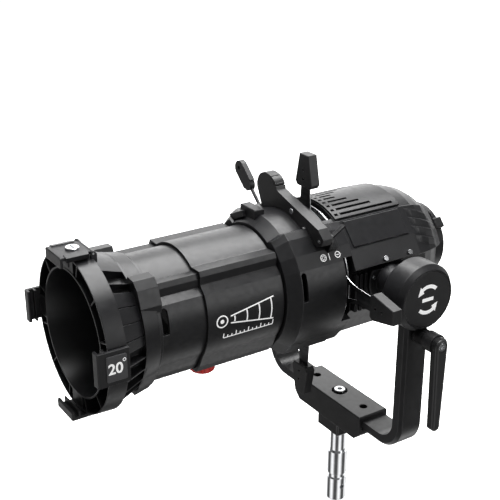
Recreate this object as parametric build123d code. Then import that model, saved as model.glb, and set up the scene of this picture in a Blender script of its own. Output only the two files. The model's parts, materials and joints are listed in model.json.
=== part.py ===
from build123d import *
from math import sin, cos, acos, atan2, radians, degrees
import os

# Ellipsoidal spotlight: a projection barrel with framing shutters, hung in a yoke on a stand spigot.
# Millimetres. X is across the yoke, the beam leaves along -Y, Z is up.
# The origin is the shoulder of the stand spigot, on its axis.

# ---- driving dimensions --------------------------------------------------------------------
axis_height = 297.0          # tilt axis and beam axis above the spigot shoulder
base_height = 95.0           # top of the base block above the spigot shoulder

# stand spigot
spigot_dia = 28.0
spigot_length = 80.0
neck_dia = 22.0
groove_dia = 24.0
groove_top = -36.0
groove_width = 8.0
socket_dia = 16.2
socket_depth = 42.0
cross_hole_dia = 7.0
stud_dia = 12.0
spigot_bolt_dia = 8.0

# base block and boss
block_length = 146.0
block_width = 47.0
block_thick = 36.5
block_chamfer = 10.5
side_hole_dia = 11.0
side_hole_spacing = 104.0
boss_length = 46.0
boss_width = 40.0
boss_thick = 24.0
bolt_head_dia = 16.0
bolt_head_height = 8.0
counterbore_dia = 22.5
counterbore_depth = 7.0

# yoke arms
yoke_outside = 294.0         # over the two arms
arm_width = 38.0
arm_thick = 15.0
arm_bend = 42.0              # outside radius of the bend
arm_drop = 6.0               # cover of the block over the arm's foot
arm_foot_gap = 20.0          # from the centre to the end of a foot
arm_edge = 4.0

# tilt pivots
housing_r = 43.0
housing_inward = 22.0          # from the outer face of an arm to the inner face of its housing
housing_outward = 7.0          # and to the edge where the housing's rim begins
housing_inner_x = yoke_outside / 2 - housing_inward
housing_outer_x = yoke_outside / 2 + housing_outward
housing_rim = 6.5
cover_r = 36.0
cover_depth = 5.0
shaft_r = 8.0
running_gap = 0.05
hub_r = 20.0
bracket_r = 31.0
bracket_thick = 9.0
bracket_screw_angles = (18, 162, 225, 315)
pivot_nut_r = 13.0

# clamp lever
lever_drop = 51.0            # clamp axis below the tilt axis
lever_hub_r = 10.5
lever_standoff = 34.0        # from the arm's outer face to the inner face of the lever
lever_reach = yoke_outside / 2 + lever_standoff
lever_thick = 11.0
lever_length = 117.0
lever_root_width = 19.0
lever_tip_width = 13.0
lever_stud_r = 5.0
clamp_nut_r = 9.0

# lens tube (slides) and the tube that guides it
tube_top_r = 69.0
tube_side_r = 75.0
tube_ridge = 56.5
tube_foot = 69.6
tube_foot_half = 43.6
tube_bore_r = 66.0
guide_gap = 0.6
guide_wall = 3.0
lens_tube_front = -318.0
lens_tube_rear = -200.0
guide_front = -256.0
guide_rear = -150.0
tube_wall = 3.7
tube_hollows = ((-314.0, -292.0), (-264.0, -230.0))
tube_window_front = -312.0
tube_window_rear = -303.5
tube_window_z = (1.5, 31.5)
seam_width = 2.0
seam_depth = 2.6
focus_out = 14.0             # focus travel towards the front
focus_in = 44.0              # focus travel towards the rear
knob_y = -220.0
knob_r = 16.0
knob_height = 25.0
knob_stem_r = 4.0
knob_flutes = 16
flute_r = 2.0

# front holder and its frame clips
frame_side = 190.5           # square of the colour frames that the clips hold
frame_slot = 5.5             # thickness of each of the two frame slots
frame_play = 0.8             # play between a frame's edge and a clip
holder_drop = 5.0            # the ring's centre below the beam axis
holder_front = -388.0
holder_rim_r = frame_side / 2 + 0.25
holder_rim_depth = 22.0
holder_wall = 2.0
holder_aperture_r = 75.0
flange_front = -338.0
flange_r = 82.0
gusset_thick = 1.4
gusset_step = 12
web_thick = 1.6
pad_half = 13.0
sleeve_lap = 4.0             # the holder's sleeve over the lens tube
clip_width = 40.0
clip_thick = 4.0
clip_lip_thick = 3.0
clip_rib = 2.0               # rib between the two slots of a clip
clip_lip = 11.0
clip_back = -366.0

# gate housing, with the framing shutters behind it
gate_front = -150.0
gate_shoulder = -135.0
gate_rear = -70.0
gate_top_r = 86.0
gate_side_r = 94.0
gate_foot_half = 54.0
gate_foot = 82.0
gate_bore_r = 79.0
gate_aperture_r = 38.0
slot_front = -101.0
slot_rear = -84.0

# shutters
shutter_y = -64.0
blade_thick = 0.8
blade_pitch = 1.5
blade_half = 42.0
blade_length = 105.0         # from a blade's inner edge to the foot of its grip
neck_half = 9.5
grip_length = 42.0
grip_root_half = 17.0
grip_tip_half = 9.2
grip_thick = 13.0
shutter_rest = {"top": 109.0, "right": 137.0, "bottom": 140.0, "left": 137.0}

# rear head
head_front = -54.0
head_shoulder = 50.0
head_rear = 114.0
head_top_r = 86.0
head_side = 80.0
head_foot = 77.0
ledge_out = 9.5
ledge_low = 24.0
head_bore_r = 73.0
collar_r = 49.0
collar_bore_r = 42.0
collar_rear = 131.0

# base: levels worked out from the above, and screws
arm_top_z = -arm_drop
arm_low_z = -arm_drop - arm_thick
boss_low_z = -block_thick - boss_thick
shoulder_z = -base_height
arm_outer_x = yoke_outside / 2
arm_inner_x = arm_outer_x - arm_thick
axis_z = axis_height - base_height
arm_screw_r = 3.0
arm_screw_head_r = 5.0
arm_screw_head = 5.5
arm_screw_bite = 10.0
bolt_bite = 30.0
washer_thick = 1.6

# front holder, top clip and lenses: details
rim_back = holder_front + holder_rim_depth
flange_back = flange_front + 3.0
cone_big = holder_rim_r - 2.0
clip_inner = frame_side / 2 + frame_play
clip_outer = clip_inner + clip_thick
clip_front = holder_front - 2 * frame_slot - clip_rib - clip_lip_thick
rib_front = holder_front - frame_slot - clip_rib
top_clip_z = holder_rim_r + 1.8
top_hinge_y = clip_back
top_hinge_z = top_clip_z + clip_thick / 2
top_pin_r = 1.2
knuckle_r = 2.4
knuckle_half = 18.0
ear_thick = 4.0
ear_gap = 0.5
top_screw_y = -381.0
top_screw_r = 8.0
top_screw_shank_r = 2.5
plate_length = 24.0
plate_height = 30.0
front_lens_y = -276.0
rear_lens_y = -216.0
lens_r = tube_bore_r - 0.4
lens_edge = 4.0
lens_bulge = 13.0

# gate housing: walls and windows
gate_neck = 0.88             # front outline of the gate housing against its full one
gate_wall = 4.0
gate_window_front = -134.0
gate_window_rear = -127.0
gate_window_z = (3.3, 38.0)
window_half = 27.0           # half angle of a shutter's window
rod_angle = 138.0
rod_y_place = -86.0          # the iris rod
rod_r = 2.2

# iris
iris_front = -99.0
iris_face = -92.0
iris_hub_r = 62.0
iris_bore_r = 56.0
iris_open_r = 27.0
leaf_count = 10
iris_ring_clear = 3.0        # the turning ring inside the housing's bore
paddle_start = 128.0
paddle_end = 168.0
paddle_half = 10.5
paddle_thick = 7.2

# gate over the accessory slot
gate_bar_front = slot_front - 3.0
gate_bar_rear = slot_front + 11.0
gate_hinge = (80.0, 70.0)
gate_pin_r = 2.0
catch_place = (23.0, 91.0)
catch_r = 3.4
catch_bore_r = 3.5
thumb_grooves = 5
bracket_front = gate_bar_rear + 0.5

# framing shutters: layers and guides
shutter_angle = {"right": 0, "top": 90, "left": 180, "bottom": 270}
shutter_layer = {"top": -1.5, "right": -0.5, "bottom": 0.5, "left": 1.5}
guide_thick = 1.8
chamber_half = 4.2
guide_r = 83.0
post_place = 55.0
post_r = 4.5

# rear head: walls, ribbed cover, cooling bars
head_wall = 4.0
head_hollows = ((-38.0, 27.0), (36.0, 50.0))
dome = [(50.0, 1.0), (70.0, 0.965), (84.0, 0.91), (98.0, 0.81), (108.0, 0.71), (114.0, 0.62)]
collar_front = 96.0
fin_cover_out = 2.6          # how far the ribbed cover stands out of the head
fin_floor_r = 83.5           # floor of the recess the cover lies in
fin_start = 60
fin_count = 10
fin_groove = 3.7
fin_first = 64.0
fin_bar_front = -45.0        # front of the bar that crosses the grooves
fin_bar_back = -41.5
fin_bar = 4.0
fin_gap = 3.2
fin_bar_depth = 9.0
lock_angle = 40.0
lug_front = 122.0            # bayonet lugs
lug_rear = 126.0
lug_half = 14.0
bayonet_front = 110.0
bayonet_wall = 4.6
lock_slot = (117.0, 124.4, 34.0, 66.0)    # front, rear, first and last angle
condenser_front = -44.0
condenser_rear = 42.0
condenser_r = 54.0
condenser_bore_r = 51.0
condenser_seats = ((-44.0, -41.0), (4.0, 7.0), (32.0, 34.0))
ledge_screw_places = (-6.0, 33.0)
ledge_screw_r = 3.2

out_folder = "parts"
os.makedirs(out_folder, exist_ok=True)
pieces = {}


# ---- small helpers -------------------------------------------------------------------------
def box(x0, x1, y0, y1, z0, z1):
    centre = Pos((x0 + x1) / 2, (y0 + y1) / 2, (z0 + z1) / 2)
    return centre * Box(abs(x1 - x0), abs(y1 - y0), abs(z1 - z0))


def rod_x(r, x0, x1, y=0.0, z=0.0):
    return Pos((x0 + x1) / 2, y, z) * Rot(0, 90, 0) * Cylinder(r, abs(x1 - x0))


def rod_y(r, y0, y1, x=0.0, z=0.0):
    return Pos(x, (y0 + y1) / 2, z) * Rot(90, 0, 0) * Cylinder(r, abs(y1 - y0))


def rod_z(r, z0, z1, x=0.0, y=0.0):
    return Pos(x, y, (z0 + z1) / 2) * Cylinder(r, abs(z1 - z0))


def ring_y(r_out, r_in, y0, y1):
    return rod_y(r_out, y0, y1) - rod_y(r_in, y0 - 1, y1 + 1)


def cone_y(r0, r1, y0, y1):
    """Cone along Y, r0 at y0 and r1 at y1, with y0 < y1."""
    return Pos(0, (y0 + y1) / 2, 0) * Rot(-90, 0, 0) * Cone(r0, r1, y1 - y0)


def polar(r, angle):
    """A point in the XZ plane, the angle counted from +X towards +Z."""
    return (r * cos(radians(angle)), r * sin(radians(angle)))


def xz_face(steps, y):
    """A face in the XZ plane at y. A step is (x, z), or (x_mid, z_mid, x, z) for an arc."""
    edges = []
    here = steps[0]
    for step in steps[1:] + [steps[0]]:
        end = step[-2:]
        start_3d = (here[0], y, here[1])
        end_3d = (end[0], y, end[1])
        if len(step) == 4:
            middle = (step[0], y, step[1])
            edges.append(Edge.make_three_point_arc(start_3d, middle, end_3d))
        else:
            edges.append(Edge.make_line(start_3d, end_3d))
        here = end
    return Face(Wire(edges))


def prism_y(steps, y0, y1):
    return extrude(xz_face(steps, y0), amount=y1 - y0, dir=(0, 1, 0))


def twin(right):
    """A piece and its mirror image across the centre plane, as one solid."""
    return right + mirror(right, about=Plane.YZ)


def tube_solid(half, y0, y1):
    """A symmetrical bar along Y. Its right half outline runs from the top centre to the bottom."""
    return twin(prism_y(half, y0, y1))


def taper_solid(half0, y0, half1, y1):
    return twin(loft([xz_face(half0, y0), xz_face(half1, y1)], ruled=True))


def scaled(half, factor):
    return [tuple(value * factor for value in step) for step in half]


def sector(r, y0, y1, start, end):
    """A wedge of a disc from angle start to angle end, under 180 degrees, for cutting slots."""
    middle = (start + end) / 2
    far = r / cos(radians((end - start) / 4))
    steps = [(0.0, 0.0), polar(r, start), polar(far, (start + middle) / 2)]
    steps += [polar(far, (middle + end) / 2), polar(r, end)]
    return prism_y(steps, y0, y1)


def keep(name, shape):
    """Store one node that was drawn about the beam axis, lifted to the part's frame."""
    pieces[name] = Pos(0, 0, axis_height) * shape


def keep_low(name, shape):
    """Store one node that was drawn about the top of the base block."""
    pieces[name] = Pos(0, 0, base_height) * shape


def both_sides(store, name, shape):
    store(name + "_right", shape)
    store(name + "_left", mirror(shape, about=Plane.YZ))


def pair(shape):
    """One node of two separate solids, a right one and a left one."""
    return Compound([shape, mirror(shape, about=Plane.YZ)])


# ---- base: block, boss, spigot -------------------------------------------------------------


def make_base_block():
    half_l = block_length / 2
    half_w = block_width / 2
    low = -block_thick
    steps = [(-half_l, 0.0), (half_l, 0.0), (half_l, low + block_chamfer)]
    steps += [(half_l - block_chamfer, low), (-half_l + block_chamfer, low)]
    steps += [(-half_l, low + block_chamfer)]
    block = prism_y(steps, -half_w, half_w)
    block = chamfer(block.faces().sort_by(Axis.Z)[-1].edges(), 1.2)
    tunnel = box(-half_l - 1, half_l + 1, -arm_width / 2, arm_width / 2, arm_low_z, arm_top_z)
    block -= tunnel
    block += box(-arm_foot_gap, arm_foot_gap, -half_w + 1, half_w - 1, arm_low_z, arm_top_z)
    for x in (-side_hole_spacing / 2, side_hole_spacing / 2):
        block -= rod_z(side_hole_dia / 2, low - 1, 1, x)
    block -= rod_z(counterbore_dia / 2, -counterbore_depth, 1)
    block -= rod_z(spigot_bolt_dia / 2 + 0.3, low - 1, 0)
    for x in arm_screw_places():
        block -= rod_z(arm_screw_r + 0.2, low - 1, arm_low_z + 1, x)
        block -= rod_z(arm_screw_head_r + 0.3, low - 1, low + arm_screw_head, x)
    return block


def arm_screw_places():
    """The screws that hold each foot, one on each side of its through hole."""
    inner = arm_foot_gap + 10.0
    outer = side_hole_spacing / 2 - side_hole_dia / 2 - 9.0
    place = max(inner, outer)
    return (-place, place)


def make_arm_screws():
    low = -block_thick
    screws = []
    for x in arm_screw_places():
        head = rod_z(arm_screw_head_r, low + 0.4, low + arm_screw_head, x)
        shank = rod_z(arm_screw_r, low + arm_screw_head, arm_low_z + arm_screw_bite, x)
        socket = rod_z(2.5, low, low + 3.4, x)
        screws.append(head + shank - socket)
    return Compound(screws)


def make_spigot_boss():
    boss = box(-boss_length / 2, boss_length / 2, -boss_width / 2, boss_width / 2, boss_low_z, -block_thick)
    boss = chamfer(boss.faces().sort_by(Axis.Z)[0].edges(), 5.0)
    boss = fillet(boss.edges().filter_by(Axis.Z), 3.0)
    boss -= rod_z(stud_dia / 2, boss_low_z - 1, -block_thick + 1)
    return boss


def make_stand_spigot():
    pin_r = spigot_dia / 2
    end = shoulder_z - spigot_length
    neck = rod_z(neck_dia / 2, shoulder_z - 1, boss_low_z)
    neck += rod_z(stud_dia / 2, boss_low_z - 1, -block_thick)
    pin = rod_z(pin_r, end, shoulder_z)
    pin = chamfer(pin.edges().sort_by(Axis.Z)[:1], 1.5)
    groove = rod_z(pin_r + 1, shoulder_z + groove_top - groove_width, shoulder_z + groove_top)
    pin -= groove - rod_z(groove_dia / 2, end, shoulder_z)
    spigot = pin + neck
    spigot -= rod_z(socket_dia / 2, end - 1, end + socket_depth)
    cross_z = shoulder_z + groove_top - groove_width - 13.0
    spigot -= rod_x(cross_hole_dia / 2, -pin_r - 1, pin_r + 1, 0, cross_z)
    spigot -= rod_z(spigot_bolt_dia / 2, -block_thick - bolt_bite, 0)
    return spigot


def make_spigot_bolt():
    seat = -counterbore_depth + washer_thick
    head = rod_z(bolt_head_dia / 2, seat, seat + bolt_head_height)
    head = chamfer(head.faces().sort_by(Axis.Z)[-1].edges(), 0.8)
    shank = rod_z(spigot_bolt_dia / 2, -block_thick - bolt_bite, seat)
    socket = Pos(0, 0, seat + bolt_head_height - 2) * extrude(RegularPolygon(4.0, 6), amount=5)
    return head + shank - socket


def make_spigot_washer():
    washer = rod_z(counterbore_dia / 2 - 0.8, -counterbore_depth, -counterbore_depth + washer_thick)
    return washer - rod_z(spigot_bolt_dia / 2, -counterbore_depth - 1, 0)


# ---- yoke ----------------------------------------------------------------------------------


def make_arm():
    """An L-shaped flat arm: a foot inside the block, a bend, and an upright with a round head."""
    inner_bend = arm_bend - arm_thick
    mid = 1 - cos(radians(45))
    steps = [(arm_foot_gap, arm_low_z), (arm_outer_x - arm_bend, arm_low_z)]
    steps += [(arm_outer_x - arm_bend * mid, arm_low_z + arm_bend * mid, arm_outer_x, arm_low_z + arm_bend)]
    steps += [(arm_outer_x, axis_z), (arm_inner_x, axis_z), (arm_inner_x, arm_low_z + arm_bend)]
    steps += [(arm_inner_x - inner_bend * mid, arm_top_z + inner_bend * mid,
               arm_outer_x - arm_bend, arm_top_z)]
    steps += [(arm_foot_gap, arm_top_z)]
    half_w = arm_width / 2
    arm = prism_y(steps, -half_w, half_w)
    upright = arm.edges().filter_by(Axis.Z).group_by(Axis.X)[-1]
    arm = chamfer(upright, arm_edge)
    head = rod_x(half_w, arm_inner_x, arm_outer_x, 0, axis_z)
    arm += head
    arm -= rod_x(shaft_r + running_gap, arm_inner_x - 1, arm_outer_x + 1, 0, axis_z)
    arm -= rod_x(lever_stud_r + running_gap, arm_inner_x - 1, arm_outer_x + 1, 0, axis_z - lever_drop)
    arm -= rod_z(side_hole_dia / 2, arm_low_z - 1, arm_top_z + 1, side_hole_spacing / 2)
    arm -= rod_z(arm_screw_r, arm_low_z - 1, arm_low_z + arm_screw_bite, arm_screw_places()[1])
    arm -= rod_z(counterbore_dia / 2 + 0.2, arm_low_z - 1, arm_top_z + 1)
    return arm


def make_pivot_housing():
    """The round casing over an arm's head, open below for the arm and hollow under its cover."""
    body = rod_x(housing_r, housing_inner_x, housing_outer_x)
    rim = Pos((housing_outer_x + housing_outer_x + housing_rim) / 2, 0, 0) * Rot(0, 90, 0)
    rim = rim * Cone(housing_r, cover_r + 2.0, housing_rim)
    body += rim
    body = fillet(body.faces().sort_by(Axis.X)[0].edges(), 3.0)
    body -= rod_x(cover_r, housing_outer_x + housing_rim - cover_depth, housing_outer_x + housing_rim + 1)
    body -= rod_x(cover_r - 4.0, arm_outer_x, housing_outer_x + housing_rim)
    arm_space = box(arm_inner_x, arm_outer_x, -arm_width / 2, arm_width / 2, -housing_r - 1, 0)
    arm_space += rod_x(arm_width / 2, arm_inner_x, arm_outer_x)
    body -= arm_space
    body -= rod_x(shaft_r + 1.0, housing_inner_x - 1, arm_inner_x + 1)
    hub_clear = lever_hub_r + 1.5
    body -= rod_x(hub_clear, arm_outer_x, housing_outer_x + housing_rim + 1, 0, -lever_drop)
    body -= rod_x(clamp_nut_r + 0.6, housing_inner_x - 1, arm_inner_x, 0, -lever_drop)
    return body


def make_pivot_cover():
    outer = housing_outer_x + housing_rim
    cover = rod_x(cover_r - 0.1, outer - cover_depth, outer)
    cover = chamfer(cover.faces().sort_by(Axis.X)[-1].edges(), 0.8)
    clear = lever_hub_r + 1.5
    return cover - rod_x(clear, outer - cover_depth - 1, outer + 1, 0, -lever_drop)


def make_tilt_shaft():
    inner = head_side + 1.0
    shaft = rod_x(shaft_r, inner, arm_outer_x + 7.0)
    nut = Pos(arm_outer_x + 1.6, 0, 0) * Rot(0, 90, 0) * extrude(RegularPolygon(pivot_nut_r, 6), amount=5.4)
    return shaft + nut


def make_friction_disc():
    inner_x = housing_inner_x - 2.6
    return rod_x(hub_r - 1.0, inner_x, housing_inner_x - 0.3) - rod_x(shaft_r, inner_x - 1, housing_inner_x)


def make_tilt_bracket():
    plate = rod_x(bracket_r, head_side, head_side + bracket_thick)
    plate = fillet(plate.faces().sort_by(Axis.X)[-1].edges(), 2.0)
    plate -= box(head_side - 1, head_side + bracket_thick + 1, -bracket_r - 1, bracket_r + 1,
                 ledge_low - 7.0, bracket_r + 1)
    plate += rod_x(hub_r, head_side + bracket_thick - 1, housing_inner_x - 2.6)
    for angle in bracket_screw_angles:
        y, z = polar((bracket_r + hub_r) / 2, angle)
        plate -= rod_x(2.6, head_side - 1, head_side + bracket_thick + 1, y, z)
    return plate - rod_x(shaft_r, head_side - 1, housing_inner_x)


def make_bracket_screws(side):
    screws = []
    for angle in bracket_screw_angles:
        y, z = polar((bracket_r + hub_r) / 2, angle)
        x0 = head_side + bracket_thick - 1.5
        head = rod_x(2.55, x0 - 7.0, x0, y, z)
        screws.append(head - rod_x(1.3, x0 - 1.2, x0 + 1, y, z))
    if side < 0:
        screws = [mirror(screw, about=Plane.YZ) for screw in screws]
    return screws


# ---- clamp lever ---------------------------------------------------------------------------
def make_clamp_stud():
    hub = rod_x(lever_hub_r, arm_outer_x + 0.4, lever_reach + lever_thick - 4.0, 0, -lever_drop)
    ring = rod_x(lever_hub_r + 0.01, arm_outer_x + 4.0, arm_outer_x + 5.2, 0, -lever_drop)
    hub -= ring - rod_x(lever_hub_r - 0.8, arm_outer_x, lever_reach, 0, -lever_drop)
    stud = rod_x(lever_stud_r, arm_inner_x - 6.0, arm_outer_x + 1, 0, -lever_drop)
    return hub + stud


def make_clamp_handle():
    """The arm hangs from the outer end of the hub."""
    top = -lever_drop
    low = top - lever_length
    x0 = lever_reach
    x1 = lever_reach + lever_thick
    root = lever_root_width / 2
    tip = lever_tip_width / 2
    edges = [Edge.make_line((x0, -root, top), (x0, -tip, low + tip))]
    edges += [Edge.make_three_point_arc((x0, -tip, low + tip), (x0, 0, low), (x0, tip, low + tip))]
    edges += [Edge.make_line((x0, tip, low + tip), (x0, root, top))]
    edges += [Edge.make_three_point_arc((x0, root, top), (x0, 0, top + root), (x0, -root, top))]
    arm = extrude(Face(Wire(edges)), amount=x1 - x0, dir=(1, 0, 0))
    arm = fillet(arm.faces().sort_by(Axis.X)[-1].edges(), 4.0)
    collar = rod_x(lever_hub_r + 2.0, x0 - 14.0, x0 + 1, 0, top)
    arm += collar
    arm -= rod_x(lever_hub_r, x0 - 15.0, x1 - 4.0, 0, top)
    arm -= rod_x(6.2, x1 - 5.0, x1 + 1, 0, top)
    return arm


def make_clamp_screw():
    x1 = lever_reach + lever_thick
    screw = rod_x(6.0, x1 - 4.0, x1 - 0.6, 0, -lever_drop)
    screw = chamfer(screw.faces().sort_by(Axis.X)[-1].edges(), 0.8)
    return screw - Pos(x1 - 2.2, 0, -lever_drop) * Rot(0, 90, 0) * extrude(RegularPolygon(2.6, 6), amount=5)


def make_clamp_nut():
    x0 = arm_inner_x - 7.0
    nut = Pos(x0, 0, -lever_drop) * Rot(0, 90, 0) * extrude(RegularPolygon(clamp_nut_r, 6), amount=7.0)
    return nut - rod_x(lever_stud_r + running_gap, x0 - 1, arm_inner_x + 1, 0, -lever_drop)


# ---- outlines of the barrel ----------------------------------------------------------------
def tube_half(grow):
    """Right half outline of the lens tube, or of the guide tube round it when grown."""
    top = tube_top_r + grow
    side = tube_side_r + grow
    ridge = tube_ridge + grow
    foot_x = tube_foot_half + grow
    foot_z = -tube_foot - grow
    cap = (tube_ridge - 13.0 - 0.4 * grow, ridge - 0.5)
    cap_angle = degrees(acos((cap[0] - 1.0) / top))
    steps = [(0.0, top), polar(top, (90 + cap_angle) / 2) + polar(top, cap_angle)]
    steps += [cap, (ridge - 1.5, ridge), (ridge + 1.5, ridge - 6.0), (ridge + 1.0, ridge - 16.0)]
    steps += [polar(side, 27), polar(side, -4) + polar(side, -36)]
    steps += [(foot_x + 8.0, foot_z + 10.0), (foot_x, foot_z), (0.0, foot_z)]
    return steps


def gate_half(grow):
    top = gate_top_r + grow
    side = gate_side_r + grow
    foot_x = gate_foot_half + grow
    foot_z = -gate_foot - grow
    steps = [(0.0, top), polar(top, 74.5) + polar(top, 59.5)]
    steps += [polar(side, 56), polar(side, 49.5), polar(side, 36.5), polar(side, 25)]
    steps += [polar(side, -10) + polar(side, -45), (foot_x, foot_z), (0.0, foot_z)]
    return steps


def head_half(grow):
    top = head_top_r + grow
    steps = [(0.0, top), polar(top, 74.5) + polar(top, 59)]
    steps += [polar(top + 4.5, 56.5), polar(top + 4.0, 31.5), (head_side + ledge_out + grow, ledge_low)]
    steps += [(head_side + grow, ledge_low - 7.0), (head_side + grow, -34.0)]
    steps += [(50.0 + grow, -head_foot - grow), (0.0, -head_foot - grow)]
    return steps


# ---- lens tube -----------------------------------------------------------------------------
def side_slot(y0, y1, low, high):
    """An upright slot through the right side, with a round top end."""
    r = (y1 - y0) / 2
    slot = box(tube_bore_r / 2, gate_side_r + 20, y0, y1, low, high - r)
    return slot + rod_x(r, tube_bore_r / 2, gate_side_r + 20, y0 + r, high - r)


def make_lens_tube():
    tube = tube_solid(tube_half(0.0), lens_tube_front, lens_tube_rear)
    tube -= rod_y(tube_bore_r, lens_tube_front - 1, lens_tube_rear + 1)
    window = side_slot(tube_window_front, tube_window_rear, *tube_window_z)
    tube -= window - rod_y(tube_bore_r + 0.8, lens_tube_front, lens_tube_rear)
    for y0, y1 in tube_hollows:
        tube -= tube_solid(tube_half(-tube_wall), y0, y1)
    tube -= rod_z(knob_stem_r, -tube_foot - 1, -tube_bore_r + 1, 0, knob_y)
    return tube


def lowered(shape):
    """The whole front ring sits a little below the beam axis."""
    return Pos(0, 0, -holder_drop) * shape


def spokes(angles, r0, r1, y0, y1, thick):
    """Radial webs of one thickness at the given angles."""
    webs = None
    for angle in angles:
        web = Rot(0, -angle, 0) * box(r0, r1, y0, y1, -thick / 2, thick / 2)
        webs = web if webs is None else webs + web
    return webs


def make_ring():
    """Rim with open pockets at the front, then a ribbed cone down to the flange."""
    inside = holder_aperture_r + holder_wall
    rim = cone_y(holder_rim_r - 0.5, holder_rim_r, holder_front, rim_back)
    rim -= rod_y(holder_rim_r - holder_wall, holder_front - 1, rim_back - 3.0)
    rim += cone_y(inside, inside - 3.0, holder_front, flange_front)
    slope = cone_y(cone_big, flange_r, rim_back - 1, flange_front + 0.5)
    web_in = inside - 1
    web_out = holder_rim_r - 1
    web_front = holder_front + 0.6
    front_webs = spokes(range(15, 360, 30), web_in, web_out, web_front, rim_back, web_thick)
    pads = spokes((0, 90, 180, 270), web_in, web_out, web_front, rim_back, 2 * pad_half)
    ribs = spokes(gusset_angles(), inside - 6, cone_big + 1, rim_back - 1, flange_front + 1, gusset_thick)
    ribs = ribs & slope
    for start, end in ((66, 114), (236, 304)):
        ribs += slope & sector(cone_big * 1.3, rim_back, flange_front, start, end)
    tiles = cone_y(cone_big - 1.0, flange_r - 1.0, rim_back - 1, flange_front + 0.5)
    for start, end in ((4, 47), (133, 176)):
        ribs += tiles & sector(cone_big * 1.3, rim_back, flange_front, start, end)
    ribs -= spokes(tile_joints(), flange_r - 3.0, cone_big + 5, rim_back - 2, flange_front + 1, 1.0)
    ring = rim + front_webs + pads + ribs
    ring += rod_y(flange_r, flange_front, flange_back)
    return ring


def gusset_angles():
    return [a for a in range(-54, 66, gusset_step) if a < 4 or a > 47] + [
        a for a in range(126, 246, gusset_step) if a < 133 or a > 176]


def tile_joints():
    right = range(12, 47, gusset_step)
    return list(right) + [180 - a for a in right]


def corner_block():
    """A raised block over the tube's ridge, where the ring is screwed to the tube."""
    corner = [(42.0, 62.0), (45.0, 68.5), (58.0, 67.5), (67.0, 59.0), (74.5, 40.0), (72.0, 30.0)]
    corner += [(60.0, 40.0)]
    return prism_y(corner, flange_front, lens_tube_front + 6.0)


def make_sleeve():
    """The back of the holder: a sleeve over the lens tube's front end, with two screw blocks."""
    outline = tube_half(0.0)
    sleeve = taper_solid(scaled(outline, 1.12), flange_front, scaled(outline, 1.07), lens_tube_front)
    sleeve += tube_solid(scaled(outline, 1.045), lens_tube_front - 0.5, lens_tube_front + sleeve_lap)
    block = corner_block()
    sleeve += block + mirror(block, about=Plane.YZ)
    return sleeve - tube_solid(outline, lens_tube_front, lens_tube_front + 7.0)


def make_front_holder():
    ring = lowered(make_ring())
    counterbore = rod_y(tube_bore_r, lens_tube_front - 8.0, lens_tube_front + 1.0)
    holder = (ring - counterbore) + (make_sleeve() - counterbore)
    bore_end = tube_bore_r - holder_drop
    return holder - lowered(cone_y(holder_aperture_r, bore_end, holder_front, lens_tube_front + 0.02))


def clip_at(angle, holder):
    """A clip with two slots: a plate outside the frames' edges, a rib between them and a lip in front."""
    plate = box(clip_inner, clip_outer, clip_front, clip_back, -clip_width / 2, clip_width / 2)
    lip = box(clip_outer - clip_lip, clip_outer, clip_front, clip_front + clip_lip_thick,
              -clip_width / 2, clip_width / 2)
    rib = box(clip_outer - clip_lip, clip_outer, rib_front, rib_front + clip_rib,
              -clip_width / 2, clip_width / 2)
    clip = plate + lip
    clip = chamfer(clip.edges().filter_by(Axis.Z).sort_by(Axis.Y)[:2], 0.8) + rib
    return lowered(Rot(0, -angle, 0) * clip) - holder


def make_frame_clips(holder):
    return Compound([clip_at(angle, holder) for angle in (0, 180, 270)])


# top clip: hinged at its back edge, so that a frame can be dropped in


def make_top_clip():
    back = top_hinge_y - 4.5
    half = clip_width / 2
    plate = box(-half, half, clip_front, back, top_clip_z, top_clip_z + clip_thick)
    lip = box(-half, half, clip_front, clip_front + clip_lip_thick, clip_outer - clip_lip, top_clip_z + 1)
    lip += box(-half, half, rib_front, rib_front + clip_rib, clip_outer - clip_lip, top_clip_z + 1)
    leaf = box(-knuckle_half, knuckle_half, back - 1, top_hinge_y, top_clip_z + 0.4, top_clip_z + clip_thick)
    clip = plate + lip
    clip = chamfer(clip.faces().sort_by(Axis.Z)[-1].edges(), 0.8)
    for side in (-1, 1):
        rail = Pos(side * (half - 1.0), 0, top_clip_z + 2.2) * Rot(0, side * 12, 0)
        clip += rail * box(-4.0, 4.0, clip_front + 6.0, back - 1.0, -3.4, 2.4)
    clip += leaf + rod_x(knuckle_r, -knuckle_half, knuckle_half, top_hinge_y, top_hinge_z)
    clip -= rod_x(top_pin_r, -knuckle_half - 1, knuckle_half + 1, top_hinge_y, top_hinge_z)
    clip -= rod_z(top_screw_shank_r, top_clip_z - 1, top_clip_z + clip_thick + 1, 0, top_screw_y)
    return clip


def make_top_clip_screw():
    top = top_clip_z + clip_thick
    screw = rod_z(top_screw_r, top, top + 2.2, 0, top_screw_y)
    screw = chamfer(screw.faces().sort_by(Axis.Z)[-1].edges(), 0.7)
    screw += rod_z(top_screw_shank_r, top_clip_z + 0.2, top + 1, 0, top_screw_y)
    return screw - box(-6, 6, top_screw_y - 0.7, top_screw_y + 0.7, top + 1.3, top + 3)


def make_top_ears(holder):
    """Two ears on the holder carry the clip's hinge pin."""
    inner = knuckle_half + ear_gap
    ears = []
    for side in (-1, 1):
        x0 = side * inner
        x1 = side * (inner + ear_thick)
        low = holder_rim_r * 0.9
        ear = box(x0, x1, top_hinge_y - 2.6, top_hinge_y + 4.0, low, top_hinge_z)
        ear += rod_x(3.0, min(x0, x1), max(x0, x1), top_hinge_y, top_hinge_z)
        ear -= rod_x(top_pin_r, -60, 60, top_hinge_y, top_hinge_z)
        ears.append(lowered(ear) - holder)
    return ears


def make_top_clip_pin():
    half = knuckle_half + ear_gap + ear_thick
    return rod_x(top_pin_r - running_gap, -half, half, top_hinge_y, top_hinge_z)


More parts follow.
